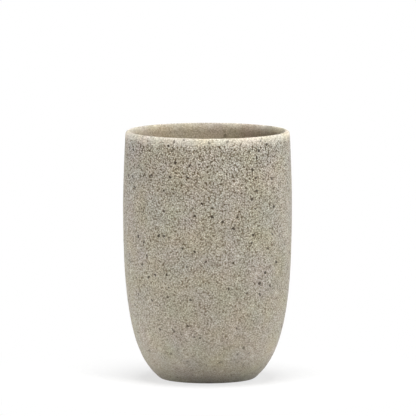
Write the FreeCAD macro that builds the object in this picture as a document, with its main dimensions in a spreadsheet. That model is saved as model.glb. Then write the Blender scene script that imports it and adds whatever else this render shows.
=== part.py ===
import FreeCAD, Part
import math
import os

import Sketcher
from FreeCAD import Vector

# Bathroom tumbler cast in stone-effect resin, with a non-slip rubber pad bonded into a recess under its foot.
# Millimetres, +Z up, with the origin on the table under the middle of the tumbler.

# Driving dimensions: the cell's name, its value and what it measures.
SIZES = (
    ("height", 110.0, "rim crest above the table"),
    ("belly_diameter", 74.5, "outside diameter at the widest place"),
    ("belly_drop", 35.0, "widest place below the rim crest"),
    ("rim_inset", 1.0, "how far the rim draws in from the belly, each side"),
    ("wall", 3.1, "wall from the belly up, and the full round of the lip"),
    ("foot_diameter", 41.2, "foot where the flank meets the underside, before its edge is rounded"),
    ("foot_edge_radius", 2.3, "rounded edge of the foot"),
    ("foot_ring_width", 3.4, "ring of the underside left round the pad recess"),
    ("flank_reach_share", 0.785, "lower handle of the flank curve, across from foot to belly"),
    ("flank_rise_share", 0.132, "lower handle of the flank curve, up from foot to belly"),
    ("flank_hold_share", 0.464, "upper handle of the flank curve, up from foot to belly"),
    ("floor_thickness", 5.0, "cup floor over the pad recess"),
    ("floor_diameter", 22.0, "flat of the cup floor"),
    ("bowl_reach_share", 0.66, "lower handle of the bowl curve, across from floor to wall"),
    ("bowl_hold_share", 0.37, "upper handle of the bowl curve, up from floor to belly"),
    ("recess_edge_radius", 0.3, "rounded mouth and corner of the pad recess"),
    ("pad_thickness", 1.5, "rubber pad"),
    ("pad_standoff", 0.5, "how far the pad stands out of the underside"),
    ("pad_side_gap", 0.4, "gap round the pad, clear of the rounded recess corner"),
    ("pad_edge_radius", 0.25, "rolled lower edge of the die-cut pad"),
    ("film_thickness", 0.15, "double-sided adhesive film over the pad"),
)

# Radii and heights that follow from the driving dimensions.
BELLY_RADIUS = "Sizes.belly_diameter / 2"
BELLY_HEIGHT = "(Sizes.height - Sizes.belly_drop)"
INNER_RADIUS = "(Sizes.belly_diameter / 2 - Sizes.wall)"
LIP_RADIUS = "Sizes.wall / 2"
LIP_CENTRE_RADIUS = "(Sizes.belly_diameter / 2 - Sizes.rim_inset - Sizes.wall / 2)"
LIP_CENTRE_HEIGHT = "(Sizes.height - Sizes.wall / 2)"
FOOT_RADIUS = "Sizes.foot_diameter / 2"
FOOT_HEIGHT = "Sizes.pad_standoff"
RECESS_RADIUS = "(Sizes.foot_diameter / 2 - Sizes.foot_ring_width)"
RECESS_HEIGHT = "(Sizes.pad_thickness + Sizes.film_thickness)"
FLOOR_RADIUS = "Sizes.floor_diameter / 2"
FLOOR_HEIGHT = "(Sizes.pad_thickness + Sizes.film_thickness + Sizes.floor_thickness)"
PAD_RADIUS = f"({RECESS_RADIUS} - Sizes.recess_edge_radius - Sizes.pad_side_gap)"

# Which point of a line, arc or curve a constraint takes, and the sketch's own root point.
START, END, CENTRE = range(1, 4)
ROOT = (-1, START)


def make_sheet(doc):
    """The spreadsheet of driving dimensions, one named cell to a row."""
    sheet = doc.addObject("Spreadsheet::Sheet", "Sizes")
    for row, (name, size, note) in enumerate(SIZES, start=1):
        sheet.set(f"A{row}", name)
        sheet.set(f"B{row}", str(size))
        sheet.setAlias(f"B{row}", name)
        sheet.set(f"C{row}", note)
    doc.recompute()


def size_of(doc, expression):
    """What an expression of the sheet's cells comes to, as a plain number."""
    result = doc.Sizes.evalExpression(expression)
    return float(getattr(result, "Value", result))


def make_body(doc, label):
    """An empty body whose label names its sub-part."""
    body = doc.addObject("PartDesign::Body", label)
    body.Label = label
    return body


def add_sketch(body, name, plane_role):
    """A sketch on one of the body's own origin planes."""
    sketch = body.newObject("Sketcher::SketchObject", name)
    plane = next(p for p in body.Origin.OriginFeatures if p.Role == plane_role)
    sketch.AttachmentSupport = [(plane, "")]
    sketch.MapMode = "FlatFace"
    return sketch


def drive(sketch, name, kind, where, expression):
    """A named dimension of the sketch, bound to the sheet."""
    size = size_of(sketch.Document, expression)
    index = sketch.addConstraint(Sketcher.Constraint(kind, *where, size))
    sketch.renameConstraint(index, name)
    sketch.setExpression(f"Constraints.{name}", expression)


def place(sketch, name, point, radius, height):
    """Drives a point's distance out from the axis and up from the table."""
    drive(sketch, f"{name}_radius", "DistanceX", (*ROOT, *point), radius)
    drive(sketch, f"{name}_height", "DistanceY", (*ROOT, *point), height)


def join(sketch, kind, *ends):
    """A constraint with no size, such as two ends that meet."""
    sketch.addConstraint(Sketcher.Constraint(kind, *ends))


def add_curve(sketch, name, poles):
    """A cubic curve from its first pole to its last, shaped by the two between, with every pole driven."""
    points = [Vector(*(size_of(sketch.Document, part) for part in pole), 0) for pole in poles]
    degree = len(points) - 1
    curve = sketch.addGeometry(Part.BSplineCurve(points, None, None, False, degree, None, False))
    first_pole = sketch.GeometryCount
    sketch.exposeInternalGeometry(curve)
    for number, (radius, height) in enumerate(poles):
        place(sketch, f"{name}_pole_{number}", (first_pole + number, CENTRE), radius, height)
    return curve


def add_arc(sketch, centre, radius, first_angle, last_angle):
    """An arc that starts about where it will lie; its constraints come afterwards."""
    circle = Part.Circle(centre, Vector(0, 0, 1), radius)
    return sketch.addGeometry(Part.ArcOfCircle(circle, first_angle, last_angle))


def add_line(sketch, first, last):
    """A straight line between two points."""
    return sketch.addGeometry(Part.LineSegment(first, last))


def add_flank(sketch):
    """The outside from the foot up to the belly, which it reaches upright."""
    across = "(Sizes.belly_diameter - Sizes.foot_diameter) / 2"
    rise = f"({BELLY_HEIGHT} - {FOOT_HEIGHT})"
    return add_curve(sketch, "flank", (
        (FOOT_RADIUS, FOOT_HEIGHT),
        (f"{FOOT_RADIUS} + Sizes.flank_reach_share * {across}",
         f"{FOOT_HEIGHT} + Sizes.flank_rise_share * {rise}"),
        (BELLY_RADIUS, f"{FOOT_HEIGHT} + Sizes.flank_hold_share * {rise}"),
        (BELLY_RADIUS, BELLY_HEIGHT),
    ))


def add_bowl(sketch):
    """The inside from the belly down to the floor, which it reaches level."""
    across = f"({INNER_RADIUS} - {FLOOR_RADIUS})"
    rise = f"({BELLY_HEIGHT} - {FLOOR_HEIGHT})"
    return add_curve(sketch, "bowl", (
        (INNER_RADIUS, BELLY_HEIGHT),
        (INNER_RADIUS, f"{FLOOR_HEIGHT} + Sizes.bowl_hold_share * {rise}"),
        (f"{FLOOR_RADIUS} + Sizes.bowl_reach_share * {across}", FLOOR_HEIGHT),
        (FLOOR_RADIUS, FLOOR_HEIGHT),
    ))


def add_rim(sketch, flank, bowl):
    """The wall above the belly: shallow arcs round one centre, outside and inside, and a full-round lip."""
    doc = sketch.Document
    belly = Vector(size_of(doc, BELLY_RADIUS), size_of(doc, BELLY_HEIGHT), 0)
    lip_radius = size_of(doc, LIP_RADIUS)
    lip_centre = Vector(size_of(doc, LIP_CENTRE_RADIUS), size_of(doc, LIP_CENTRE_HEIGHT), 0)
    rise = lip_centre.y - belly.y
    run = belly.x - lip_centre.x
    shoulder_radius = (rise**2 + run**2 - lip_radius**2) / (2 * (run - lip_radius))
    hub = Vector(belly.x - shoulder_radius, belly.y, 0)
    lean = (lip_centre - hub).getAngle(Vector(1, 0, 0))

    shoulder = add_arc(sketch, hub, shoulder_radius, 0, lean)
    lip = add_arc(sketch, lip_centre, lip_radius, lean, lean + math.pi)
    inside = add_arc(sketch, hub, shoulder_radius - 2 * lip_radius, 0, lean)
    place(sketch, "lip_centre", (lip, CENTRE), LIP_CENTRE_RADIUS, LIP_CENTRE_HEIGHT)
    join(sketch, "Coincident", flank, END, shoulder, START)
    join(sketch, "Horizontal", shoulder, CENTRE, shoulder, START)
    join(sketch, "Tangent", shoulder, END, lip, START)
    join(sketch, "Tangent", inside, END, lip, END)
    join(sketch, "Coincident", inside, CENTRE, shoulder, CENTRE)
    join(sketch, "Coincident", inside, START, bowl, START)


def close_section(sketch, flank, bowl):
    """The straight lines that close the section: the floor, the axis and the underside."""
    doc = sketch.Document
    floor_edge = Vector(size_of(doc, FLOOR_RADIUS), size_of(doc, FLOOR_HEIGHT), 0)
    foot_edge = Vector(size_of(doc, FOOT_RADIUS), size_of(doc, FOOT_HEIGHT), 0)
    floor_middle = Vector(0, floor_edge.y, 0)
    foot_middle = Vector(0, foot_edge.y, 0)
    floor = add_line(sketch, floor_edge, floor_middle)
    axis = add_line(sketch, floor_middle, foot_middle)
    underside = add_line(sketch, foot_middle, foot_edge)
    join(sketch, "Coincident", bowl, END, floor, START)
    join(sketch, "Coincident", floor, END, axis, START)
    join(sketch, "Coincident", axis, END, underside, START)
    join(sketch, "Coincident", underside, END, flank, START)
    for line, on_axis in ((floor, END), (underside, START)):
        join(sketch, "Horizontal", line)
        join(sketch, "Vertical", line, on_axis, *ROOT)


def wall_section(body):
    """Half section of the cup, from the underside out, over the lip and down to the floor."""
    sketch = add_sketch(body, "WallSection", "XZ_Plane")
    flank = add_flank(sketch)
    bowl = add_bowl(sketch)
    add_rim(sketch, flank, bowl)
    close_section(sketch, flank, bowl)
    return sketch


def disc_outline(body, name, radius):
    """A circle round the upright axis, on the table plane."""
    sketch = add_sketch(body, name, "XY_Plane")
    circle = Part.Circle(Vector(0, 0, 0), Vector(0, 0, 1), size_of(body.Document, radius))
    ring = sketch.addGeometry(circle)
    join(sketch, "Coincident", ring, CENTRE, *ROOT)
    drive(sketch, "radius", "Radius", (ring,), radius)
    return sketch


def check(doc):
    """Recomputes the document and stops the build if an object failed."""
    doc.recompute()
    failed = [o.Label for o in doc.Objects if "Invalid" in o.State or "Error" in o.State]
    if failed:
        raise RuntimeError(f"failed to build: {', '.join(failed)}")


def round_edges(body, name, circles, radius):
    """A fillet, bound to the sheet, on the round edges of the given radii and heights."""
    doc = body.Document
    places = [Vector(size_of(doc, out), 0, size_of(doc, up)) for out, up in circles]
    edges = []
    for number, edge in enumerate(body.Shape.Edges, start=1):
        if isinstance(edge.Curve, Part.Circle):
            here = Vector(edge.Curve.Radius, 0, edge.Curve.Center.z)
            if any(here.isEqual(place, Part.Precision.confusion()) for place in places):
                edges.append(f"Edge{number}")
    base = body.Tip
    fillet = body.newObject("PartDesign::Fillet", name)
    fillet.Base = (base, edges)
    fillet.setExpression("Radius", radius)
    check(doc)


def make_cup(doc):
    """The cast cup: the wall section turned about the axis, with its pad recess and rounded edges."""
    body = make_body(doc, "cup_body")
    turned = body.newObject("PartDesign::Revolution", "TurnedCup")
    turned.Profile = wall_section(body)
    turned.ReferenceAxis = (turned.Profile[0], ["V_Axis"])
    check(doc)
    round_edges(body, "FootEdge", [(FOOT_RADIUS, FOOT_HEIGHT)], "Sizes.foot_edge_radius")

    whole_volume = body.Shape.Volume
    recess = body.newObject("PartDesign::Pocket", "PadRecess")
    recess.Profile = disc_outline(body, "RecessOutline", RECESS_RADIUS)
    recess.Reversed = True
    recess.setExpression("Length", RECESS_HEIGHT)
    check(doc)
    if body.Shape.Volume >= whole_volume:
        raise RuntimeError("the pad recess cut nothing")
    mouth_and_corner = [(RECESS_RADIUS, FOOT_HEIGHT), (RECESS_RADIUS, RECESS_HEIGHT)]
    round_edges(body, "RecessEdges", mouth_and_corner, "Sizes.recess_edge_radius")
    return body


def make_disc(doc, label, thickness):
    """A flat disc that fits the pad recess, lying on the table plane."""
    body = make_body(doc, label)
    disc = body.newObject("PartDesign::Pad", f"{label}_disc")
    disc.Profile = disc_outline(body, f"{label}_outline", PAD_RADIUS)
    disc.setExpression("Length", thickness)
    check(doc)
    return body


def make_pad(doc):
    """The die-cut rubber disc that the tumbler stands on."""
    body = make_disc(doc, "base_pad", "Sizes.pad_thickness")
    round_edges(body, "PadEdge", [(PAD_RADIUS, "0")], "Sizes.pad_edge_radius")
    return body


def make_film(doc):
    """The adhesive film between the pad and the recess."""
    body = make_disc(doc, "pad_adhesive", "Sizes.film_thickness")
    body.setExpression(".Placement.Base.z", "Sizes.pad_thickness")
    return body


def write_parts(bodies):
    """Checks each sub-part's solid, then writes it to a file named after it."""
    for body in bodies:
        if body.Shape.isNull() or not body.Shape.isValid() or len(body.Shape.Solids) != 1:
            raise RuntimeError(f"{body.Label} is not one sound solid")
    os.makedirs("parts", exist_ok=True)
    for body in bodies:
        body.Shape.exportStep(f"parts/{body.Label}.step")
        print(f"{body.Label}: {body.Shape.Volume:.1f} cubic mm")


def main():
    """Builds the tumbler's three pieces and writes them."""
    doc = FreeCAD.newDocument("Tumbler")
    make_sheet(doc)
    bodies = [make_cup(doc), make_pad(doc), make_film(doc)]
    check(doc)
    write_parts(bodies)


main()
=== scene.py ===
"""Looks of a bathroom tumbler cast in stone-effect resin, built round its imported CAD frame."""
import logging
import math
from dataclasses import dataclass
from enum import Enum

import bmesh
import bpy
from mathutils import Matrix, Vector, noise
from mathutils.geometry import interpolate_bezier


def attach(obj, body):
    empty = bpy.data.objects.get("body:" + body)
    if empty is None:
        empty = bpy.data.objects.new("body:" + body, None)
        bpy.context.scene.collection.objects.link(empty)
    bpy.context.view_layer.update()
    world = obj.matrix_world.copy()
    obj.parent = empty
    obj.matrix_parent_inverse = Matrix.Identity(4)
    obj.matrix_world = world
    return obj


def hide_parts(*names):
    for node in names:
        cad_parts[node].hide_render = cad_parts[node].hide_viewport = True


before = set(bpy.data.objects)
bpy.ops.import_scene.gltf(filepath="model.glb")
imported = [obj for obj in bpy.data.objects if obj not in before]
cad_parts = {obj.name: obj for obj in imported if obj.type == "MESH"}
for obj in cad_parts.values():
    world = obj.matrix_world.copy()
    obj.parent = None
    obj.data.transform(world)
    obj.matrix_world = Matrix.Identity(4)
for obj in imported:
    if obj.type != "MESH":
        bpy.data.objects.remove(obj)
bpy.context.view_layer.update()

MM = 0.001
ROOT_BODY = "root"
log = logging.getLogger("tumbler")

Point = tuple[float, float]
Triple = tuple[float, float, float]
Socket = bpy.types.NodeSocket


class Slot(Enum):
    """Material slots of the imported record."""

    STONE_RESIN = "stone_resin"
    PAD_RUBBER = "pad_rubber"
    ADHESIVE_FILM = "adhesive_film"


class Zone(Enum):
    """Zones of the cup's surface, kept on its vertices for the relief and the finish to read."""

    # The lip zone marks the smoother lip and where its painted highlight goes.
    LIP = "lip_smooth_and_highlight"
    INSIDE = "inside_wall"
    SEAT = "smooth_seat"


class Graph:
    """A node tree under construction, with short calls for the nodes that the finishes share."""

    def __init__(self, tree: bpy.types.NodeTree) -> None:
        """Empties a tree, ready to be filled.

        Args:
            tree: The node tree.
        """
        self.tree = tree
        tree.nodes.clear()

    def node(self, kind: str, inputs: dict[str | int, object] | None = None,
             **settings: object) -> bpy.types.Node:
        """Adds a node.

        Args:
            kind: The node's type name.
            inputs: What goes into it, a value or a socket, by the input's name or place.
            settings: Properties of the node.

        Returns:
            The new node.
        """
        made = self.tree.nodes.new(kind)
        for name, setting in settings.items():
            setattr(made, name, setting)
        for name, value in (inputs or {}).items():
            self.feed(made.inputs[name], value)
        return made

    def feed(self, entry: Socket, value: object) -> None:
        """Links a socket to an input, or sets the input's own value.

        Args:
            entry: The input.
            value: A socket, a number or a colour.
        """
        if isinstance(value, bpy.types.NodeSocket):
            self.tree.links.new(value, entry)
        elif entry.type == "RGBA" and len(value) == 3:
            entry.default_value = (*value, 1.0)
        else:
            entry.default_value = value

    def math(self, operation: str, *values: object) -> Socket:
        """Adds a Math node.

        Args:
            operation: Its operation.
            values: Numbers or sockets, in order.

        Returns:
            Its result.
        """
        return self.node("ShaderNodeMath", dict(enumerate(values)), operation=operation).outputs[0]

    def vector(self, operation: str, *values: object, out: str = "Vector") -> Socket:
        """Adds a Vector Math node.

        Args:
            operation: Its operation.
            values: Vectors or sockets, in order.
            out: Which of its outputs is wanted.

        Returns:
            Its result.
        """
        return self.node("ShaderNodeVectorMath", dict(enumerate(values)), operation=operation).outputs[out]

    def ease(self, value: object, start: float, end: float, low: float = 0.0, high: float = 1.0) -> Socket:
        """Eases from one value to another as an input crosses a range.

        Args:
            value: The input.
            start: Where the range starts.
            end: Where it ends.
            low: The result at the start.
            high: The result at the end.

        Returns:
            The eased value.
        """
        inputs = {"Value": value, "From Min": start, "From Max": end, "To Min": low, "To Max": high}
        return self.node("ShaderNodeMapRange", inputs, interpolation_type="SMOOTHSTEP").outputs["Result"]

    def millimetres(self, place: Socket) -> Socket:
        """Turns a place in metres into millimetres."""
        return self.vector("MULTIPLY", place, (1 / MM,) * 3)

    def cloud(self, where: Socket, size: float, detail: float = 2.0, shift: float = 0.0) -> bpy.types.Node:
        """Adds a Noise texture.

        Args:
            where: Place in millimetres.
            size: Rough size of its blotches, in millimetres.
            detail: How many finer layers it has.
            shift: How far it is moved, in millimetres, so that two clouds differ.

        Returns:
            The texture node.
        """
        moved = self.vector("ADD", where, (shift,) * 3) if shift else where
        return self.node("ShaderNodeTexNoise", {"Vector": moved, "Scale": 1 / size, "Detail": detail})

    def spread(self, where: Socket, size: float, reach: float, detail: float = 2.0,
               shift: float = 0.0) -> Socket:
        """Adds a Noise texture centred on zero.

        Args:
            where: Place in millimetres.
            size: Rough size of its blotches, in millimetres.
            reach: What its full swing of a half comes to.
            detail: How many finer layers it has.
            shift: How far it is moved, in millimetres.

        Returns:
            The noise, from about minus to plus a half of reach.
        """
        value = self.cloud(where, size, detail, shift).outputs[0]
        return self.math("MULTIPLY_ADD", value, reach, -reach / 2)

    def blend(self, share: object, first: object, second: object, how: str = "MIX") -> Socket:
        """Mixes two colours.

        Args:
            share: How much of the second shows.
            first: The colour under it.
            second: The colour over it.
            how: The blend type.

        Returns:
            The mixed colour.
        """
        mix = self.node("ShaderNodeMix", data_type="RGBA", blend_type=how, clamp_factor=True)
        for place, value in ((0, share), (6, first), (7, second)):
            self.feed(mix.inputs[place], value)
        return mix.outputs[2]

    def zone(self, zone: Zone) -> Socket:
        """Reads a zone of the cup's surface in a material."""
        return self.node("ShaderNodeAttribute", attribute_name=zone.value).outputs["Fac"]

    def seen(self) -> Socket:
        """Tells rays that show the studio to the eye from those that carry its light.

        Returns:
            1 for what is seen straight, mirrored or through something, and 0 for light.
        """
        path = self.node("ShaderNodeLightPath")
        seen = path.outputs["Is Camera Ray"]
        for ray in ("Is Glossy Ray", "Is Transmission Ray"):
            seen = self.math("MAXIMUM", seen, path.outputs[ray])
        return seen


def new_material(name: str) -> tuple[bpy.types.Material, Graph]:
    """Makes an empty node material.

    Args:
        name: The material's name.

    Returns:
        The material and its node tree.
    """
    made = bpy.data.materials.new(name)
    made.use_nodes = True
    return made, Graph(made.node_tree)


def new_object(name: str, shape: bmesh.types.BMesh) -> bpy.types.Object:
    """Turns a finished bmesh into a smooth-shaded object at the origin.

    Args:
        name: The object's name.
        shape: The bmesh, which is freed.

    Returns:
        The object.
    """
    mesh = bpy.data.meshes.new(name)
    shape.to_mesh(mesh)
    shape.free()
    mesh.shade_smooth()
    made = bpy.data.objects.new(name, mesh)
    bpy.context.scene.collection.objects.link(made)
    return made


@dataclass(frozen=True)
class Specks:
    """Rounded specks scattered through the casting, which show where the surface cuts them.

    Attributes:
        spacing: Rough distance between them, in millimetres.
        radius: Largest radius, in millimetres.
        fade: How far a speck's edge fades inwards, in millimetres.
    """

    spacing: float
    radius: float
    fade: float

    def mask(self, graph: Graph, where: Socket) -> Socket:
        """Marks the specks.

        Args:
            graph: The tree that the nodes go in.
            where: Place in millimetres.

        Returns:
            1 in a speck and 0 around it.
        """
        scale = 1 / self.spacing
        cells = graph.node("ShaderNodeTexVoronoi", {"Vector": where, "Scale": scale})
        return graph.ease(cells.outputs["Distance"], self.radius * scale, (self.radius - self.fade) * scale)


@dataclass(frozen=True)
class StoneMix:
    """What the casting is made of, shared by its relief and its colour.

    Attributes:
        stir_size: Size of the swirls that bend the grains, in millimetres.
        stir_reach: How far they bend them, in millimetres.
        flecks: Large dark flecks.
        specks: Small dark specks.
        quartz: Pale grains.
    """

    stir_size: float = 1.2
    stir_reach: float = 1.5
    flecks: Specks = Specks(spacing=4.7, radius=0.76, fade=0.2)
    specks: Specks = Specks(spacing=2.9, radius=0.52, fade=0.25)
    quartz: Specks = Specks(spacing=4.0, radius=0.5, fade=0.3)

    def stirred(self, graph: Graph, mm: Socket) -> Socket:
        """Bends a place in the casting, so that grains and flecks come out irregular.

        Args:
            graph: The tree that the nodes go in.
            mm: Place in millimetres.

        Returns:
            The bent place, in millimetres.
        """
        swirl = graph.cloud(mm, self.stir_size, detail=1.0).outputs["Color"]
        return graph.vector("MULTIPLY_ADD", swirl, (self.stir_reach,) * 3, mm)


@dataclass(frozen=True)
class CastRelief:
    """Shallow relief of the cast skin, cut inwards into the cup's mesh. Depths in millimetres.

    Attributes:
        mix: What the casting is made of.
        wave_size: Size of the long swells.
        wave_depth: Depth of the long swells.
        wave_range: Noise at which a swell starts and is full.
        grain_size: Size of the grains that show as relief.
        grain_depth: Depth of the dips between them.
        grain_range: Distance from a grain's middle, in grains, at which a dip starts and is full.
        pit_depth: Depth of the pits at the large flecks.
        lip_share: Share of dips and pits that is left on the lip.
        inside_share: Share of dips and pits that is left on the inside.
    """

    mix: StoneMix
    wave_size: float = 24.0
    wave_depth: float = 0.12
    wave_range: Point = (0.25, 0.75)
    grain_size: float = 1.7
    grain_depth: float = 0.07
    grain_range: Point = (0.1, 0.8)
    pit_depth: float = 0.16
    lip_share: float = 0.15
    inside_share: float = 0.4

    def cut(self, target: bpy.types.Object) -> None:
        """Cuts the relief into an object's mesh.

        Args:
            target: The cup, with its zones on its vertices.
        """
        modifier = target.modifiers.new("cast_relief", "NODES")
        modifier.node_group = self.tree()
        result = target.evaluated_get(bpy.context.evaluated_depsgraph_get())
        carved = bpy.data.meshes.new_from_object(result)
        target.modifiers.clear()
        smooth = target.data
        target.data = carved
        carved.name = target.name
        bpy.data.meshes.remove(smooth)

    def tree(self) -> bpy.types.NodeTree:
        """Builds the nodes that move each vertex inwards by the relief's depth.

        Returns:
            The node group.
        """
        group = bpy.data.node_groups.new("cast_relief", "GeometryNodeTree")
        graph = Graph(group)
        group.interface.new_socket("Geometry", in_out="INPUT", socket_type="NodeSocketGeometry")
        group.interface.new_socket("Geometry", in_out="OUTPUT", socket_type="NodeSocketGeometry")
        start = graph.node("NodeGroupInput")
        mm = graph.millimetres(graph.node("GeometryNodeInputPosition").outputs[0])
        stirred = self.mix.stirred(graph, mm)

        swell = graph.cloud(mm, self.wave_size, detail=1.0).outputs[0]
        wave = graph.ease(swell, *self.wave_range, 0.0, self.wave_depth)
        cells = graph.node("ShaderNodeTexVoronoi", {"Vector": stirred, "Scale": 1 / self.grain_size})
        dips = graph.ease(cells.outputs["Distance"], *self.grain_range, 0.0, self.grain_depth)
        pits = graph.math("MULTIPLY", self.mix.flecks.mask(graph, stirred), self.pit_depth)
        rough = graph.math("ADD", dips, pits)
        for zone, kept in ((Zone.LIP, self.lip_share), (Zone.INSIDE, self.inside_share)):
            rough = graph.math("MULTIPLY", rough, graph.ease(self.zone(graph, zone), 0.0, 1.0, 1.0, kept))
        clear = graph.math("SUBTRACT", 1.0, self.zone(graph, Zone.SEAT))
        depth = graph.math("MULTIPLY", graph.math("ADD", wave, rough), clear)

        normal = graph.node("GeometryNodeInputNormal").outputs[0]
        inwards = graph.node("ShaderNodeVectorMath", {0: normal}, operation="SCALE")
        graph.feed(inwards.inputs["Scale"], graph.math("MULTIPLY", depth, -MM))
        shift = {"Geometry": start.outputs[0], "Offset": inwards.outputs[0]}
        moved = graph.node("GeometryNodeSetPosition", shift)
        graph.node("NodeGroupOutput", {0: moved.outputs[0]})
        return group

    def zone(self, graph: Graph, zone: Zone) -> Socket:
        """Reads a zone of the cup's surface in the relief."""
        return graph.node("GeometryNodeInputNamedAttribute", {"Name": zone.value}).outputs[0]


@dataclass(frozen=True)
class Sand:
    """Sand grains in the casting's skin, palest in the middle, a few of them white.

    Attributes:
        size: Size of a grain, in millimetres.
        crown: How much paler a grain is at its middle than between grains.
        tone: How far grains differ in tone from each other.
        white_draw: Range of a grain's own draw, from 0 to 1, over which it turns white.
        white_reach: Distance from its middle, in grains, at which the white starts and is full.
        white_swing: How much paler still a white grain is.
    """

    size: float = 0.65
    crown: float = 1.9
    tone: float = 0.2
    white_draw: Point = (0.8, 0.9)
    white_reach: Point = (0.65, 0.2)
    white_swing: float = 0.6

    def swing(self, graph: Graph, mm: Socket) -> Socket:
        """Lays the grains.

        Args:
            graph: The tree that the nodes go in.
            mm: Place in millimetres.

        Returns:
            How far the tone differs from the body colour, about zero.
        """
        cells = graph.node("ShaderNodeTexVoronoi", {"Vector": mm, "Scale": 1 / self.size})
        away = cells.outputs["Distance"]
        draws = cells.outputs["Color"]
        crown = graph.math("MULTIPLY_ADD", away, -self.crown, self.crown / 2)
        first = graph.vector("DOT_PRODUCT", draws, (1.0, 0.0, 0.0), out="Value")
        white = graph.ease(first, *self.white_draw)
        white = graph.math("MULTIPLY", white, graph.ease(away, *self.white_reach))
        second = graph.vector("DOT_PRODUCT", draws, (0.0, self.tone, 0.0), out="Value")
        own = graph.math("SUBTRACT", second, self.tone / 2)
        return graph.math("MULTIPLY_ADD", white, self.white_swing, graph.math("ADD", crown, own))


@dataclass(frozen=True)
class GrainStrength:
    """How strongly the grain shows: less towards the foot, on the inside and on the lip.

    Attributes:
        at_foot: Strength at the foot.
        rise: Gain for each millimetre of height.
        calm_to: Height under which the grain calms down further, in millimetres.
        calm_share: Share of it that is left at the foot.
        bold_band: Heights between which it turns bolder under the lip, in millimetres.
        bold_shares: Share below and above that band.
        lip_share: Share left on the lip.
        inside_edge: How far into the zone of the inside the grain has calmed down.
        inside_share: Share left on the inside.
    """

    at_foot: float = 0.565
    rise: float = 0.0057
    calm_to: float = 32.0
    calm_share: float = 0.6
    bold_band: Point = (84.0, 97.0)
    bold_shares: Point = (0.98, 1.08)
    lip_share: float = 0.4
    inside_edge: float = 0.3
    inside_share: float = 0.3

    def strength(self, graph: Graph, mm: Socket, lip: Socket) -> Socket:
        """Works out the strength at a place.

        Args:
            graph: The tree that the nodes go in.
            mm: Place in millimetres.
            lip: How far the place lies in the lip zone.

        Returns:
            The strength, from 0 to a little over 1.
        """
        height = graph.node("ShaderNodeSeparateXYZ", {0: mm}).outputs["Z"]
        strength = graph.math("MULTIPLY_ADD", height, self.rise, self.at_foot)
        for share in (
            graph.ease(height, 0.0, self.calm_to, self.calm_share, 1.0),
            graph.ease(height, *self.bold_band, *self.bold_shares),
            graph.ease(lip, 0.0, 1.0, 1.0, self.lip_share),
            graph.ease(graph.zone(Zone.INSIDE), 0.0, self.inside_edge, 1.0, self.inside_share),
        ):
            strength = graph.math("MULTIPLY", strength, share)
        return strength


@dataclass(frozen=True)
class TintPatches:
    """Faint patches of tint in the casting, rosy to green and bluish to ochre.

    Attributes:
        size: Size of the patches, in millimetres.
        rosy: Full swing of the red channel, as a share of the body colour.
        rosy_shift: How far the rosy patches are moved, in millimetres.
        bluish: Full swing of the blue channel, as a share of the body colour.
        bluish_shift: How far the bluish patches are moved, in millimetres.
    """

    size: float = 12.0
    rosy: float = 0.17
    rosy_shift: float = 37.0
    bluish: float = 0.36
    bluish_shift: float = 81.0

    def swing(self, graph: Graph, mm: Socket) -> Socket:
        """Lays the patches.

        Args:
            graph: The tree that the nodes go in.
            mm: Place in millimetres.

        Returns:
            How far each colour channel differs from the body colour, about zero.
        """
        red = graph.spread(mm, self.size, self.rosy, detail=1.0, shift=self.rosy_shift)
        blue = graph.spread(mm, self.size, self.bluish, detail=1.0, shift=self.bluish_shift)
        return graph.node("ShaderNodeCombineXYZ", {0: red, 2: blue}).outputs[0]


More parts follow.
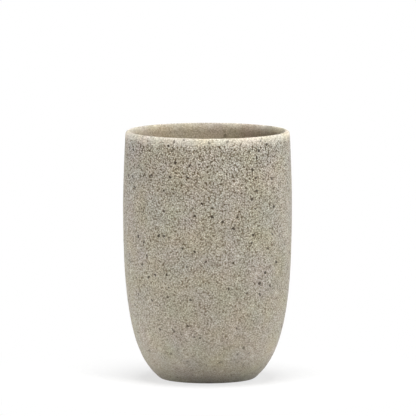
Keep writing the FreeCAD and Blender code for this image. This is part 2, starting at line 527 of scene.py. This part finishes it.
@dataclass(frozen=True)
class StoneResin:
    """Matt finish of cast resin filled with sand: grains, flecks, pale quartz and faint patches of tint,
    with a pale lip and a paler inside that are painted light.

    Sizes are in millimetres, and swings are shares of the body colour.

    Attributes:
        mix: What the casting is made of.
        sand: Its sand grains.
        grain: How strongly grains and flecks show.
        tint: Its patches of tint.
        body: Mean colour of the outside.
        fleck: Colour of the large dark flecks.
        fleck_cover: How far they cover the body colour where the grain is at full strength.
        speck: Colour of the small dark specks.
        speck_cover: How far they cover it.
        pale: Colour of the quartz grains.
        pale_cover: How far they cover it.
        lip: Colour of the lip zone, paler than the body: a painted highlight on the crest and painted light
            on the top of the inside.
        lip_patch: Size of the bays in the lower edge of the lip zone and its painted highlight.
        lip_bays: How far the bays reach, as a share of the lip's zone.
        lip_full: Share of the lip's zone from which the lip's painted highlight, smoother skin and calmer
            grain are full.
        inside: Mean colour of the inside, paler than the outside: painted light that brightens the inside.
        grain_warmth: How far each colour channel follows the grains' tone.
        darkest: Least share of the body colour that shows between grains.
        cloud_size: Size of the soft clouds under the grain.
        cloud_swing: How far they differ in tone.
        rough: Roughness of the skin.
        rough_swing: How much smoother the palest grains are.
        lip_gloss: How much smoother the lip is.
        bump: Strength of the finest grain's relief.
        bump_depth: Depth of the finest grain's relief.
        specular: Level of the skin's shine.
        bloom: Strength of the dusty bloom that shows where the skin is seen edge on.
        bloom_spread: How widely the bloom shows.
    """

    mix: StoneMix
    sand: Sand = Sand()
    grain: GrainStrength = GrainStrength()
    tint: TintPatches = TintPatches()
    body: Triple = (0.334, 0.299, 0.233)
    fleck: Triple = (0.048, 0.033, 0.018)
    fleck_cover: float = 1.15
    speck: Triple = (0.106, 0.084, 0.050)
    speck_cover: float = 0.9
    pale: Triple = (0.545, 0.525, 0.455)
    pale_cover: float = 0.7
    lip: Triple = (0.600, 0.545, 0.438)
    lip_patch: float = 3.0
    lip_bays: float = 0.9
    lip_full: float = 0.6
    inside: Triple = (0.480, 0.405, 0.296)
    grain_warmth: Triple = (0.9, 1.0, 1.14)
    darkest: Triple = (0.10, 0.08, 0.05)
    cloud_size: float = 4.5
    cloud_swing: float = 0.26
    rough: float = 0.8
    rough_swing: float = 0.12
    lip_gloss: float = 0.15
    bump: float = 0.5
    bump_depth: float = 0.12
    specular: float = 0.4
    bloom: float = 0.2
    bloom_spread: float = 0.5

    def material(self) -> bpy.types.Material:
        """Builds the material.

        Returns:
            The material.
        """
        made, graph = new_material("cast_stone_resin")
        mm = graph.millimetres(graph.node("ShaderNodeTexCoord").outputs["Object"])
        # The lip's share carries its painted highlight as well as its smoother skin and calmer grain.
        lip = self.lip_highlight_and_smoothing(graph, mm)
        strength = self.grain.strength(graph, mm, lip)
        sand = self.sand.swing(graph, mm)
        clouds = graph.spread(mm, self.cloud_size, self.cloud_swing)
        swing = graph.math("MULTIPLY_ADD", sand, strength, clouds)
        tone = graph.vector("MULTIPLY_ADD", swing, self.grain_warmth, (1.0, 1.0, 1.0))
        tone = graph.vector("MAXIMUM", tone, self.darkest)
        ground = graph.vector("MULTIPLY", self.ground(graph, mm, lip), tone)

        rough = graph.math("MULTIPLY_ADD", swing, -self.rough_swing, self.rough)
        rough = graph.math("MULTIPLY_ADD", lip, -self.lip_gloss, rough)
        height = {"Strength": graph.math("MULTIPLY", strength, self.bump), "Distance": self.bump_depth * MM,
                  "Height": sand}
        surface = graph.node("ShaderNodeBsdfPrincipled", {
            "Base Color": self.flecked(graph, mm, ground, strength),
            "Roughness": rough,
            "Specular IOR Level": self.specular,
            "Sheen Weight": self.bloom,
            "Sheen Roughness": self.bloom_spread,
            "Normal": graph.node("ShaderNodeBump", height).outputs[0],
        })
        graph.node("ShaderNodeOutputMaterial", {"Surface": surface.outputs[0]})
        return made

    def lip_highlight_and_smoothing(self, graph: Graph, mm: Socket) -> Socket:
        """Says how far the lip takes its painted highlight and smoother skin, with an uneven lower edge.

        Args:
            graph: The tree that the nodes go in.
            mm: Place in millimetres.

        Returns:
            The share, 1 on the crest and 0 below the lip.
        """
        bays = graph.spread(mm, self.lip_patch, self.lip_bays)
        return graph.ease(graph.math("ADD", graph.zone(Zone.LIP), bays), 0.0, self.lip_full)

    def ground(self, graph: Graph, mm: Socket, lip: Socket) -> Socket:
        """Lays the colour under the grain, with patches of tint, the painted light of the paler inside and
        the painted highlight of the pale lip.

        Args:
            graph: The tree that the nodes go in.
            mm: Place in millimetres.
            lip: How far the place lies in the lip zone, which takes the painted highlight.

        Returns:
            The colour.
        """
        # The paler inside colour is painted light that brightens the inside.
        body = graph.blend(graph.zone(Zone.INSIDE), self.body, self.inside)
        # The pale lip colour is a painted highlight on the crest and on the top of the inside.
        body = graph.blend(lip, body, self.lip)
        return graph.vector("MULTIPLY_ADD", body, self.tint.swing(graph, mm), body)

    def flecked(self, graph: Graph, mm: Socket, ground: Socket, strength: Socket) -> Socket:
        """Adds specks, quartz and flecks to the colour under them.

        Args:
            graph: The tree that the nodes go in.
            mm: Place in millimetres.
            ground: The colour under them.
            strength: How strongly they show.

        Returns:
            The colour.
        """
        stirred = self.mix.stirred(graph, mm)
        for specks, shade, cover in (
            (self.mix.specks, self.speck, self.speck_cover),
            (self.mix.quartz, self.pale, self.pale_cover),
            (self.mix.flecks, self.fleck, self.fleck_cover),
        ):
            share = graph.math("MULTIPLY", specks.mask(graph, stirred), cover)
            ground = graph.blend(graph.math("MULTIPLY", share, strength), ground, shade)
        return ground


@dataclass(frozen=True)
class PadRubber:
    """Matt dark rubber sheet, slightly mottled, with a fine calendered grain. Sizes in millimetres.

    Attributes:
        body: Colour of the rubber.
        dust: Colour of the talc left in its grain.
        grain_size: Size of the grain.
        grain_range: Noise at which talc starts to fill the grain and fills it.
        grain_dust: How far the talc shows outside the grain and in it.
        mottle_size: Size of the mottles.
        mottle_range: Noise at which a mottle starts and is full.
        rough: Roughness between the mottles.
        rough_swing: How much rougher the mottles are.
        bump: Strength of the grain's relief.
        bump_depth: Depth of the grain's relief.
    """

    body: Triple = (0.045, 0.045, 0.048)
    dust: Triple = (0.120, 0.118, 0.112)
    grain_size: float = 0.35
    grain_range: Point = (0.5, 0.75)
    grain_dust: Point = (0.1, 0.6)
    mottle_size: float = 4.0
    mottle_range: Point = (0.4, 0.75)
    rough: float = 0.7
    rough_swing: float = 0.2
    bump: float = 0.5
    bump_depth: float = 0.08

    def material(self) -> bpy.types.Material:
        """Builds the material.

        Returns:
            The material.
        """
        made, graph = new_material("pad_rubber")
        mm = graph.millimetres(graph.node("ShaderNodeTexCoord").outputs["Object"])
        grain = graph.cloud(mm, self.grain_size, detail=2.0).outputs[0]
        mottle = graph.cloud(mm, self.mottle_size, detail=3.0).outputs[0]
        filled = graph.ease(grain, *self.grain_range, *self.grain_dust)
        share = graph.math("MULTIPLY", graph.ease(mottle, *self.mottle_range), filled)
        height = {"Strength": self.bump, "Distance": self.bump_depth * MM, "Height": grain}
        surface = graph.node("ShaderNodeBsdfPrincipled", {
            "Base Color": graph.blend(share, self.body, self.dust),
            "Roughness": graph.math("MULTIPLY_ADD", mottle, self.rough_swing, self.rough),
            "Normal": graph.node("ShaderNodeBump", height).outputs[0],
        })
        graph.node("ShaderNodeOutputMaterial", {"Surface": surface.outputs[0]})
        return made


@dataclass(frozen=True)
class AdhesiveFilm:
    """Milky double-sided film with the fibres of its tissue carrier.

    Attributes:
        body: Colour of the adhesive.
        fibre: Colour of the tissue fibres.
        fibre_size: Thickness of a fibre, in millimetres.
        fibre_pace: How slowly the pattern changes along the fibres, across them being 1.
        fibre_range: Noise at which a fibre starts and is full.
        rough: Roughness of the adhesive.
        rough_swing: How much rougher the fibres are.
    """

    body: Triple = (0.720, 0.700, 0.620)
    fibre: Triple = (0.800, 0.790, 0.740)
    fibre_size: float = 0.4
    fibre_pace: float = 0.2
    fibre_range: Point = (0.4, 0.7)
    rough: float = 0.3
    rough_swing: float = 0.3

    def material(self) -> bpy.types.Material:
        """Builds the material.

        Returns:
            The material.
        """
        made, graph = new_material("adhesive_film")
        mm = graph.millimetres(graph.node("ShaderNodeTexCoord").outputs["Object"])
        drawn = graph.vector("MULTIPLY", mm, (1.0, self.fibre_pace, 1.0))
        fibres = graph.cloud(drawn, self.fibre_size, detail=3.0).outputs[0]
        surface = graph.node("ShaderNodeBsdfPrincipled", {
            "Base Color": graph.blend(graph.ease(fibres, *self.fibre_range), self.body, self.fibre),
            "Roughness": graph.math("MULTIPLY_ADD", fibres, self.rough_swing, self.rough),
        })
        graph.node("ShaderNodeOutputMaterial", {"Surface": surface.outputs[0]})
        return made


@dataclass(frozen=True)
class Stretch:
    """One stretch of a turned section, a cubic curve between its first and last pole.

    Attributes:
        poles: Radius and height of the four poles, in millimetres.
        step: Rough distance between points along it, in millimetres.
        samples: How many points the curve is measured with.
        slack: Tolerance of that measure, in millimetres.
    """

    poles: tuple[Vector, Vector, Vector, Vector]
    step: float
    samples: int = 600
    slack: float = 1e-9

    def backwards(self) -> "Stretch":
        """The same stretch, from its last pole to its first."""
        return Stretch(self.poles[::-1], self.step)

    def points(self) -> list[Point]:
        """Spaces points evenly along the stretch.

        Returns:
            Radius and height of each point, both ends included.
        """
        fine = interpolate_bezier(*(pole.to_3d() for pole in self.poles), self.samples)
        lengths = [0.0]
        for here, there in zip(fine, fine[1:]):
            lengths.append(lengths[-1] + (there - here).length)
        count = max(1, round(lengths[-1] / self.step))
        spaced: list[Point] = []
        at = 0
        for number in range(count + 1):
            wanted = lengths[-1] * number / count
            while at < len(fine) - 1 and lengths[at] < wanted - self.slack:
                at += 1
            spaced.append((fine[at].x, fine[at].y))
        return spaced


def straight(first: Vector, last: Vector, step: float) -> Stretch:
    """Makes a straight stretch.

    Args:
        first: Its start.
        last: Its end.
        step: Rough distance between points along it.

    Returns:
        The stretch.
    """
    return Stretch((first, first.lerp(last, 1 / 3), first.lerp(last, 2 / 3), last), step)


def rounded(first: Vector, corner: Vector, last: Vector, step: float) -> Stretch:
    """Makes an arc that rounds a corner, drawn out along the longer side where the two differ.

    Args:
        first: Where the arc leaves the first side.
        corner: Where the two sides would meet.
        last: Where the arc joins the second side.
        step: Rough distance between points along it.

    Returns:
        The stretch.
    """
    turn = math.pi - (first - corner).angle(last - corner)
    reach = 4 / 3 * math.tan(turn / 4) / math.tan(turn / 2)
    return Stretch((first, first.lerp(corner, reach), last.lerp(corner, reach), last), step)


@dataclass
class Cup:
    """The cast cup: wall, round lip with an eased mouth, bowl, floor, foot and pad recess.

    Sizes are in millimetres.

    Attributes:
        height: Height of the lip's crest.
        belly_radius: Largest radius.
        belly_height: Height of the largest radius.
        rim_inset: How far the lip's outside lies in from the belly.
        wall: Thickness of the wall, and so of the lip.
        mouth_ease: How far down the inside the lip is eased.
        lip_fade: Depth below the crest at which the lip zone, with its painted highlight, ends outside.
        lip_curve: Power by which it fades.
        mouth_fade: Depth below the crest at which it ends inside.
        mouth_share: How strongly the inner half of the crest and the top of the inside take the lip zone
            and its painted light.
        inside_fade: Depth over which the finish turns into that of the inside.
        foot_radius: Radius of the foot, before its edge is rounded.
        foot_height: Height of the foot ring, which the pad holds off the table.
        foot_edge: Radius of the foot's edge.
        flank_reach: First pole of the flank's curve, as a share of its width.
        flank_rise: First pole of the flank's curve, as a share of its height.
        flank_hold: Second pole of the flank's curve, as a share of its height.
        floor_radius: Radius of the level floor.
        floor_height: Height of the level floor.
        bowl_reach: Pole of the bowl's curve at the floor, as a share of its width.
        bowl_hold: Pole of the bowl's curve at the wall, as a share of its depth.
        recess_radius: Radius of the pad recess.
        recess_height: Height of the recess's roof.
        recess_edge: Radius of the recess's edges.
        seat_fade: Height above the roof over which the relief starts.
        outer_step: Distance between points outside.
        inner_step: Distance between points inside.
        lip_step: Distance between points over the lip.
        edge_step: Distance between points round small edges.
        sectors: Equal sectors of the full turn.
        steps_a_sector: Steps round a sector.
        seam_gap: Distance under which the points at seams and poles are merged.
    """

    height: float = 110.0
    belly_radius: float = 37.25
    belly_height: float = 75.0
    rim_inset: float = 1.0
    wall: float = 3.1
    mouth_ease: float = 3.8
    lip_fade: float = 6.0
    lip_curve: float = 1.8
    mouth_fade: float = 4.0
    mouth_share: float = 0.3
    inside_fade: float = 1.5
    foot_radius: float = 20.6
    foot_height: float = 0.5
    foot_edge: float = 2.3
    flank_reach: float = 0.785
    flank_rise: float = 0.132
    flank_hold: float = 0.464
    floor_radius: float = 11.0
    floor_height: float = 6.65
    bowl_reach: float = 0.66
    bowl_hold: float = 0.37
    recess_radius: float = 17.2
    recess_height: float = 1.65
    recess_edge: float = 0.3
    seat_fade: float = 0.8
    outer_step: float = 0.72
    inner_step: float = 1.7
    lip_step: float = 0.35
    edge_step: float = 0.2
    sectors: int = 8
    steps_a_sector: int = 45
    seam_gap: float = 0.001

    def outer_stretches(self) -> list[Stretch]:
        """Section of the underside and the outside, from the middle of the recess to the crest of the lip.

        Returns:
            The stretches, in order.
        """
        roof = self.recess_height
        foot = self.foot_height
        side = self.recess_radius
        across = self.belly_radius - self.foot_radius
        rise = self.belly_height - foot
        corner = Vector((self.foot_radius, foot))
        handle = corner + Vector((self.flank_reach * across, self.flank_rise * rise))
        hold = Vector((self.belly_radius, foot + self.flank_hold * rise))
        belly = Vector((self.belly_radius, self.belly_height))
        cut = self.foot_edge * math.tan((handle - corner).angle(Vector((1, 0))) / 2)
        edge_start = corner - Vector((cut, 0))
        edge_end = corner + cut * (handle - corner).normalized()
        inset = Vector((self.recess_edge, 0))
        drop = Vector((0, self.recess_edge))
        recess_roof = Vector((side, roof))
        recess_mouth = Vector((side, foot))
        return [
            straight(Vector((0, roof)), recess_roof - inset, self.inner_step),
            rounded(recess_roof - inset, recess_roof, recess_roof - drop, self.edge_step),
            straight(recess_roof - drop, recess_mouth + drop, self.edge_step),
            rounded(recess_mouth + drop, recess_mouth, recess_mouth + inset, self.edge_step),
            straight(recess_mouth + inset, edge_start, self.outer_step),
            rounded(edge_start, corner, edge_end, self.edge_step),
            Stretch((edge_end, handle, hold, belly), self.outer_step),
            *self.rim_stretches()[:2],
        ]

    def inner_stretches(self) -> list[Stretch]:
        """Section of the inside, from the crest of the lip to the middle of the floor.

        Returns:
            The stretches, in order.
        """
        inner = self.belly_radius - self.wall
        depth = self.belly_height - self.floor_height
        belly = Vector((inner, self.belly_height))
        floor_edge = Vector((self.floor_radius, self.floor_height))
        level = floor_edge + Vector((self.bowl_reach * (inner - self.floor_radius), 0))
        upright = Vector((inner, self.floor_height + self.bowl_hold * depth))
        return [
            *self.rim_stretches()[2:],
            Stretch((belly, upright, level, floor_edge), self.inner_step),
            straight(floor_edge, Vector((0, self.floor_height)), self.inner_step),
        ]

    def rim_stretches(self) -> list[Stretch]:
        """Section of the wall above the belly: up the shoulder, over the lip and down the inside.

        Returns:
            The four stretches, in order.
        """
        lip = self.wall / 2
        belly = Vector((self.belly_radius, self.belly_height))
        centre = Vector((self.belly_radius - self.rim_inset - lip, self.height - lip))
        climb = centre.y - belly.y
        run = belly.x - centre.x
        radius = (climb**2 + run**2 - lip**2) / (2 * (run - lip))
        out = (centre - belly + Vector((radius, 0))).normalized()
        up = Vector((-out.y, out.x))
        crest = centre + lip * up
        outer = centre + lip * out
        mouth = crest - lip * out
        inner = mouth - self.mouth_ease * up
        return [
            self.bow(belly, outer, up, self.outer_step),
            rounded(outer, outer + lip * up, crest, self.lip_step),
            rounded(crest, mouth, inner, self.lip_step),
            self.bow(belly - Vector((self.wall, 0)), inner, up, self.inner_step).backwards(),
        ]

    def bow(self, belly: Vector, top: Vector, up: Vector, step: float) -> Stretch:
        """Bows a stretch of wall from upright at the belly to a lean at its top.

        Args:
            belly: Its lower end.
            top: Its upper end.
            up: Direction of the lean.
            step: Rough distance between points along it.

        Returns:
            The stretch, from the belly up.
        """
        return rounded(belly, top + up * ((belly.x - top.x) / up.x), top, step)

    def build(self, mix: StoneMix) -> bpy.types.Object:
        """Turns the section about the upright axis and cuts the cast relief.

        Args:
            mix: What the casting is made of.

        Returns:
            The cup's object.
        """
        shape = bmesh.new()
        chain = self.wire(shape)
        self.turn(shape, chain)
        made = new_object("cup", shape)
        CastRelief(mix).cut(made)
        return made

    def wire(self, shape: bmesh.types.BMesh) -> list[bmesh.types.BMVert]:
        """Lays the half section as a chain of vertices, each with its zones.

        Args:
            shape: The bmesh that it goes in.

        Returns:
            The chain.
        """
        layers = {zone: shape.verts.layers.float.new(zone.value) for zone in Zone}
        chain: list[bmesh.types.BMVert] = []
        for inside, stretches in ((0.0, self.outer_stretches()), (1.0, self.inner_stretches())):
            for stretch in stretches:
                points = stretch.points()
                for radius, height in points[1:] if chain else points:
                    vert = shape.verts.new((radius * MM, 0.0, height * MM))
                    depth = self.height - height
                    vert[layers[Zone.INSIDE]] = inside * min(1.0, depth / self.inside_fade)
                    # The lip zone marks where the painted highlight goes, outside and at the top of the
                    # inside.
                    vert[layers[Zone.LIP]] = self.lip_share(depth, bool(inside))
                    vert[layers[Zone.SEAT]] = self.seat_share(height)
                    chain.append(vert)
        for first, second in zip(chain, chain[1:]):
            shape.edges.new((first, second))
        return chain

    def lip_share(self, depth: float, inside: bool) -> float:
        """How far a place belongs to the lip zone, which takes the painted highlight and the smoother skin.

        Args:
            depth: How far it lies below the crest.
            inside: Whether it lies inside the crest.

        Returns:
            The share, from 0 to 1.
        """
        if inside:
            return self.mouth_share * max(0.0, 1.0 - depth / self.mouth_fade)
        return max(0.0, 1.0 - depth / self.lip_fade) ** self.lip_curve

    def seat_share(self, height: float) -> float:
        """How far a place lies on the smooth underside, from 0 to 1."""
        return min(1.0, max(0.0, 1.0 + (self.recess_height - height) / self.seat_fade))

    def turn(self, shape: bmesh.types.BMesh, chain: list[bmesh.types.BMVert]) -> None:
        """Turns the chain into one sector, copies it all round and closes the seams and poles.

        Args:
            shape: The bmesh.
            chain: The half section.
        """
        about = {"cent": (0, 0, 0), "axis": (0, 0, 1)}
        one = math.tau / self.sectors
        bmesh.ops.spin(shape, geom=chain + shape.edges[:], angle=one, steps=self.steps_a_sector, **about)
        bmesh.ops.spin(shape, geom=shape.verts[:] + shape.edges[:] + shape.faces[:], angle=math.tau - one,
                       steps=self.sectors - 1, use_duplicate=True, **about)
        bmesh.ops.remove_doubles(shape, verts=shape.verts, dist=self.seam_gap * MM)
        bmesh.ops.recalc_face_normals(shape, faces=shape.faces)

    def dress(self, made: bpy.types.Object, mix: StoneMix) -> None:
        """Gives the cup its finish and its place on the frame.

        Args:
            made: The cup's object.
            mix: What the casting is made of.
        """
        made.data.materials.append(StoneResin(mix).material())
        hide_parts("cup_body")
        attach(made, ROOT_BODY)


@dataclass
class BasePad:
    """The die-cut rubber disc in the recess, with the film that holds it.

    Sizes are in millimetres.

    Attributes:
        radius: Radius of the disc.
        thickness: Thickness of the disc.
        edge: Radius of its lower edge.
        edge_segments: Segments round that edge.
        segments: Segments round the disc.
        rings: Rings across each flat.
        ripple: Depth of the ripple that the die leaves.
        ripple_pace: Ripples to a millimetre, roughly.
    """

    radius: float = 16.5
    thickness: float = 1.5
    edge: float = 0.25
    edge_segments: int = 3
    segments: int = 240
    rings: int = 12
    ripple: float = 0.06
    ripple_pace: float = 0.7

    def build(self) -> bpy.types.Object:
        """Builds the disc with a rolled lower edge and the slight ripple of a die cut.

        Returns:
            The pad's object.
        """
        shape = bmesh.new()
        bmesh.ops.create_circle(shape, cap_ends=True, segments=self.segments, radius=self.radius * MM)
        raised = bmesh.ops.extrude_face_region(shape, geom=shape.faces[:])["geom"]
        top = [item for item in raised if isinstance(item, bmesh.types.BMVert)]
        bmesh.ops.translate(shape, verts=top, vec=(0, 0, self.thickness * MM))
        low = self.edge * MM / 2
        rim = [edge for edge in shape.edges if all(vert.co.z < low for vert in edge.verts)]
        bmesh.ops.bevel(shape, geom=rim, offset=self.edge * MM, offset_type="OFFSET",
                        segments=self.edge_segments, profile=0.5, affect="EDGES", material=-1)
        flats = [face for face in shape.faces if len(face.verts) > 4]
        for _ in range(self.rings):
            bmesh.ops.inset_region(shape, faces=flats, thickness=self.radius / (self.rings + 1) * MM)
        bmesh.ops.poke(shape, faces=flats)
        for vert in shape.verts:
            out = Vector((vert.co.x, vert.co.y, 0))
            if out.length > (self.radius - 2 * self.edge) * MM:
                cut = self.ripple * MM * (0.5 + 0.5 * noise.noise(out / MM * self.ripple_pace))
                vert.co -= out.normalized() * max(0.0, cut)
        bmesh.ops.recalc_face_normals(shape, faces=shape.faces)
        return new_object("base_pad_disc", shape)

    def dress(self, made: bpy.types.Object, film: bpy.types.Object) -> None:
        """Gives the pad and the film their finishes and the pad its place on the frame.

        Args:
            made: The pad's object.
            film: The film's object, which is the frame's own.
        """
        made.data.materials.append(PadRubber().material())
        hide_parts("base_pad")
        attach(made, ROOT_BODY)
        film.data.materials.clear()
        film.data.materials.append(AdhesiveFilm().material())


@dataclass(frozen=True)
class Softbox:
    """A rectangular studio lamp that faces the tumbler.

    Attributes:
        name: The lamp's name.
        place: Where it stands, in metres.
        size: Its width and height, in metres.
        power: Its power, in watts.
        aim_height: Height on the tumbler's axis that it faces, in metres.
    """

    name: str
    place: Triple
    size: Point
    power: float
    aim_height: float = 0.055

    def build(self) -> None:
        """Adds the lamp, which lights the tumbler but isn't seen itself."""
        lamp = bpy.data.lights.new(self.name, "AREA")
        lamp.shape = "RECTANGLE"
        lamp.size, lamp.size_y = self.size
        lamp.energy = self.power
        made = bpy.data.objects.new(self.name, lamp)
        made.location = self.place
        facing = Vector((0, 0, self.aim_height)) - made.location
        made.rotation_euler = facing.to_track_quat("-Z", "Y").to_euler()
        made.visible_camera = False
        bpy.context.scene.collection.objects.link(made)


@dataclass
class Studio:
    """Pale floor, soft lamps and the camera.

    Lengths are in metres.

    Attributes:
        floor_half: Half the floor's side.
        floor_white: Grey of the floor to the eye, where it takes the shadow.
        floor_painted_shadow: Grey of the floor to the light under the tumbler, a painted shadow that
            darkens the light it bounces onto the foot.
        floor_far: Grey of the floor to the light, away from the tumbler.
        bounce_from: Distance from the axis at which the painted shadow in the floor's grey to the light
            starts to fade.
        bounce_to: Distance at which it has faded and the floor is palest to the light.
        shadow_from: Distance from the axis at which the shadow starts to fade out to white.
        shadow_to: Distance at which the floor is white.
        shadow_veil: How far the floor is veiled in white where the shadow is strongest.
        camera_place: Where the camera stands.
        camera_pitch: How far it looks down, in degrees.
        camera_lens: Its focal length, in millimetres.
        lamps: The lamps.
    """

    floor_half: float = 12.0
    floor_white: float = 0.9
    floor_painted_shadow: float = 0.12
    floor_far: float = 0.82
    bounce_from: float = 0.02
    bounce_to: float = 0.05
    shadow_from: float = 0.03
    shadow_to: float = 0.12
    shadow_veil: float = 0.7
    camera_place: Triple = (0.00022, -4.0, 0.521)
    camera_pitch: float = 6.352
    camera_lens: float = 791.4
    lamps: tuple[Softbox, ...] = (
        Softbox("overhead", (0.0, -0.2, 1.3), (0.6, 0.6), 18.8),
        Softbox("right_front", (0.9, -1.0, 0.6), (0.8, 0.8), 9.9),
        Softbox("right_back", (1.1, 0.6, 0.5), (0.8, 0.9), 4.2),
        Softbox("left_strip", (-0.2, -0.04, 0.012), (0.24, 0.02), 0.18, 0.008),
        Softbox("left_low", (-0.05, -0.02, 0.003), (0.04, 0.005), 0.0013, 0.003),
        Softbox("right_low", (0.05, -0.02, 0.003), (0.04, 0.005), 0.0014, 0.003),
    )

    def build(self) -> None:
        """Sets up the floor, the lamps, the world and the camera."""
        bpy.context.scene.view_settings.view_transform = "Standard"
        self.lay_floor()
        for lamp in self.lamps:
            lamp.build()
        self.light_world()
        self.set_camera()

    def lay_floor(self) -> None:
        """Lays the floor: white to the eye beyond the tumbler's soft shadow, and grey to the light, with a
        painted shadow in that grey under the tumbler.
        """
        shape = bmesh.new()
        bmesh.ops.create_grid(shape, x_segments=1, y_segments=1, size=self.floor_half)
        floor = new_object("floor", shape)
        material, graph = new_material("studio_floor")
        place = graph.node("ShaderNodeTexCoord").outputs["Object"]
        away = graph.vector("LENGTH", place, out="Value")
        pale = graph.node("ShaderNodeBsdfDiffuse", {"Color": (self.floor_white,) * 3})
        white = graph.node("ShaderNodeEmission", {"Strength": 1.0})
        veil = graph.ease(away, self.shadow_from, self.shadow_to, self.shadow_veil)
        look = graph.node("ShaderNodeMixShader", {0: veil, 1: pale.outputs[0], 2: white.outputs[0]})
        # The grey to the light is darker under the tumbler: a painted shadow that darkens what the floor
        # bounces onto the foot.
        bounce = graph.ease(away, self.bounce_from, self.bounce_to, self.floor_painted_shadow, self.floor_far)
        grey = graph.node("ShaderNodeBsdfDiffuse", {"Color": bounce})
        both = graph.node("ShaderNodeMixShader", {0: graph.seen(), 1: grey.outputs[0], 2: look.outputs[0]})
        graph.node("ShaderNodeOutputMaterial", {"Surface": both.outputs[0]})
        floor.data.materials.append(material)

    def light_world(self) -> None:
        """Makes the world white to the eye, with no light of its own."""
        world = bpy.data.worlds.new("studio")
        world.use_nodes = True
        graph = Graph(world.node_tree)
        light = graph.node("ShaderNodeBackground", {"Color": (1.0, 1.0, 1.0), "Strength": graph.seen()})
        graph.node("ShaderNodeOutputWorld", {"Surface": light.outputs[0]})
        bpy.context.scene.world = world

    def set_camera(self) -> None:
        """Sets the camera far off with a long lens, a little above the rim."""
        camera = bpy.data.cameras.new("camera")
        camera.lens = self.camera_lens
        camera.clip_end = 2 * self.floor_half
        view = bpy.data.objects.new("camera", camera)
        view.location = self.camera_place
        view.rotation_euler = (math.radians(90 - self.camera_pitch), 0, 0)
        bpy.context.scene.collection.objects.link(view)
        bpy.context.scene.camera = view


def main() -> None:
    """Builds the tumbler's pieces in order, then the studio round them."""
    logging.basicConfig(level=logging.INFO, format="%(name)s: %(message)s")
    mix = StoneMix()
    cup = Cup()
    cup_object = cup.build(mix)
    cup.dress(cup_object, mix)
    log.info("cup: %d faces", len(cup_object.data.polygons))
    pad = BasePad()
    pad_object = pad.build()
    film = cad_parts["pad_adhesive"]
    pad.dress(pad_object, film)
    log.info("pad: %d faces", len(pad_object.data.polygons))
    log.info("film: %d faces, as in the frame", len(film.data.polygons))
    Studio().build()


if __name__ == "__main__":
    main()
